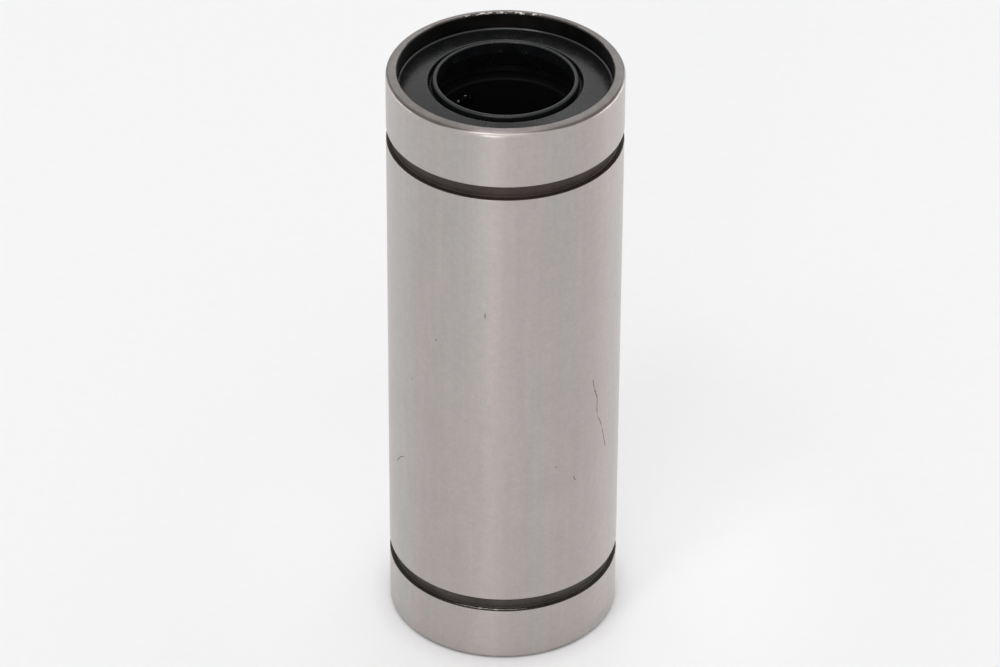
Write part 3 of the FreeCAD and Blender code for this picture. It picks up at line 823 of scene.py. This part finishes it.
GROUND, RIM, CHAMFERED, IN_GROOVE, IN_BORE, WORN_GLINT, MOUTH, IN_UPPER_GROOVE = range(8)
finishes = (ground_steel, rim_steel, chamfer_steel, groove_scale,
            dark_bore_steel, worn_glint_steel, mouth_steel, brown_scale)
for material in finishes:
    cylinder.data.materials.append(material)
face_radius, face_height = face_middles(cylinder.data)
depth = np.minimum(face_height, LENGTH - face_height)
column = np.arange(len(face_radius)) % COLUMNS
finish = np.full(len(face_radius), IN_BORE)
outside_wall = face_radius > GROOVE_FLOOR - 0.05
finish[outside_wall] = IN_GROOVE
finish[outside_wall & (face_height > LENGTH / 2)] = IN_UPPER_GROOVE
at_groove = (depth > GROOVE_LOW - 0.1) & (depth < GROOVE_HIGH + 0.1)
finish[face_radius > OUTER - np.where(at_groove, 0.012, 0.045)] = GROUND
finish[(depth < 0.50) & (face_radius > OUTER - CHAMFER)] = GROUND
finish[(depth < 0.10) & (face_radius > SEAT + 0.02)] = RIM
finish[(depth < CHAMFER) & (face_radius > OUTER - CHAMFER)] = CHAMFERED

# The mouth's dark border is widest at the back.
dark_width = 0.10 + 0.22 * np.clip(np.sin(angles[column]), 0, 1) ** 2
finish[(depth < 0.12) & (face_radius < SEAT + dark_width)] = MOUTH
finish[(depth < 0.12) & (face_radius < SEAT + 0.06)] = IN_BORE

# The burr is rubbed bright, and along the front that bright colour is also a painted glint.
on_burr = (np.abs(face_radius - BURR) < 0.045) & (np.abs(face_height - GROOVE_LOW) < 0.06)
finish[on_burr & (burr[column] > 0.15)] = WORN_GLINT
cylinder.data.polygons.foreach_set("material_index", finish.astype(np.int32))
print("faces by finish:", np.bincount(finish))

# %% [markdown]
# ## Rubber, resin, balls and rings
#
# The seals are black nitrile rubber with a soft sheen and a little dust. The retainers are
# moulded from a black resin, duller than the rubber. The balls are polished nearly to a mirror.
# The retaining rings are spring steel with a dark phosphate coat.

# %% Seal rubber
seal_rubber, tree, surface = new_finish("seal_rubber")
circles = use(tree, lines_round, Lines_per_mm=4.0, Break_up=0.6)
cloud = use(tree, clouds, Per_mm=0.9, Contrast=0.7)["Cloud"]
dust = use(tree, spots, Per_mm=2.2, Size=0.10, Share=0.12)["Spot"]
tone = blend(tree, cloud, (0.0045, 0.005, 0.0055), (0.0075, 0.008, 0.009))
dusty = blend(tree, maths(tree, "MULTIPLY", dust, 0.35), tone, (0.20, 0.21, 0.22))
coat(tree, surface, dusty, between(tree, cloud, 0.22, 0.30))
surface.inputs["Specular IOR Level"].default_value = 0.42
grain = maths(tree, "MULTIPLY", noise(tree, position(tree), 9000.0, 2.0), 0.6)
skin = maths(tree, "ADD", grain, maths(tree, "MULTIPLY", circles["Lines"], 0.4))
rough_up(tree, surface, skin, 0.25, 0.00003)

# %% A smoother bead
smooth_rubber = seal_rubber.copy()
smooth_rubber.name = "smooth_bead_rubber"
surface = smooth_rubber.node_tree.nodes["Principled BSDF"]
shine = surface.inputs["Roughness"]
smooth_rubber.node_tree.links.remove(shine.links[0])
shine.default_value = 0.20
surface.inputs["IOR"].default_value = 1.58
for seal in seals:
    seal.data.materials.append(seal_rubber)
    seal.data.materials.append(smooth_rubber)
    bead_radius, bead_height = face_middles(seal.data)
    bead_depth = np.minimum(bead_height, LENGTH - bead_height)
    on_bead = (bead_radius > SEAL_RIM - 0.24) & (bead_depth < SEAL_FACE + 0.1)
    seal.data.polygons.foreach_set("material_index", on_bead.astype(np.int32))

# %% Retainer resin
retainer_resin, tree, surface = new_finish("retainer_resin")
cloud = use(tree, clouds, Per_mm=0.5, Contrast=0.5)["Cloud"]
flow = use(tree, lines_round, Lines_per_mm=1.5, Break_up=0.8)
tone = blend(tree, cloud, (0.0045, 0.004, 0.004), (0.007, 0.0065, 0.006))
flowed = blend(tree, between(tree, flow["Fine lines"], 0.0, 0.4), tone, (0.009, 0.0085, 0.008))
coat(tree, surface, flowed, between(tree, cloud, 0.55, 0.68))
surface.inputs["Specular IOR Level"].default_value = 0.07
rough_up(tree, surface, noise(tree, position(tree), 6000.0, 3.0), 0.2, 0.00003)

# %% Ball steel
ball_steel, tree, surface = new_finish("ball_steel")
cloud = use(tree, clouds, Per_mm=1.2, Contrast=0.5)["Cloud"]
pits = use(tree, spots, Per_mm=4.0, Size=0.08, Share=0.10)["Spot"]
tone = blend(tree, cloud, (0.44, 0.43, 0.42), (0.52, 0.51, 0.50))
pitted = blend(tree, maths(tree, "MULTIPLY", pits, 0.5), tone, (0.30, 0.28, 0.26))
coat(tree, surface, pitted, between(tree, cloud, 0.13, 0.20))
surface.inputs["Metallic"].default_value = 1.0

# %% Ring steel
ring_steel, tree, surface = new_finish("ring_steel")
circles = use(tree, lines_round, Lines_per_mm=8.0, Break_up=0.5)
cloud = use(tree, clouds, Per_mm=0.8, Contrast=0.7)["Cloud"]
tone = blend(tree, cloud, (0.030, 0.029, 0.029), (0.055, 0.053, 0.052))
lined = blend(tree, between(tree, circles["Fine lines"], 0.0, 0.5), tone, (0.085, 0.082, 0.08))
coat(tree, surface, lined, between(tree, cloud, 0.36, 0.50))
surface.inputs["Metallic"].default_value = 0.85
rough_up(tree, surface, circles["Lines"], 0.25, 0.00002)

# %% Dress the CAD nodes that stay
FINISH_OF_SLOT = {"retainer_resin": retainer_resin, "ball_steel": ball_steel, "ring_steel": ring_steel,
                  "cylinder_steel": ground_steel, "seal_rubber": seal_rubber}
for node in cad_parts.values():
    for place in node.material_slots:
        place.material = FINISH_OF_SLOT[place.material.name.split(".")[0]]
print("dressed", len(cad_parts), "CAD nodes")
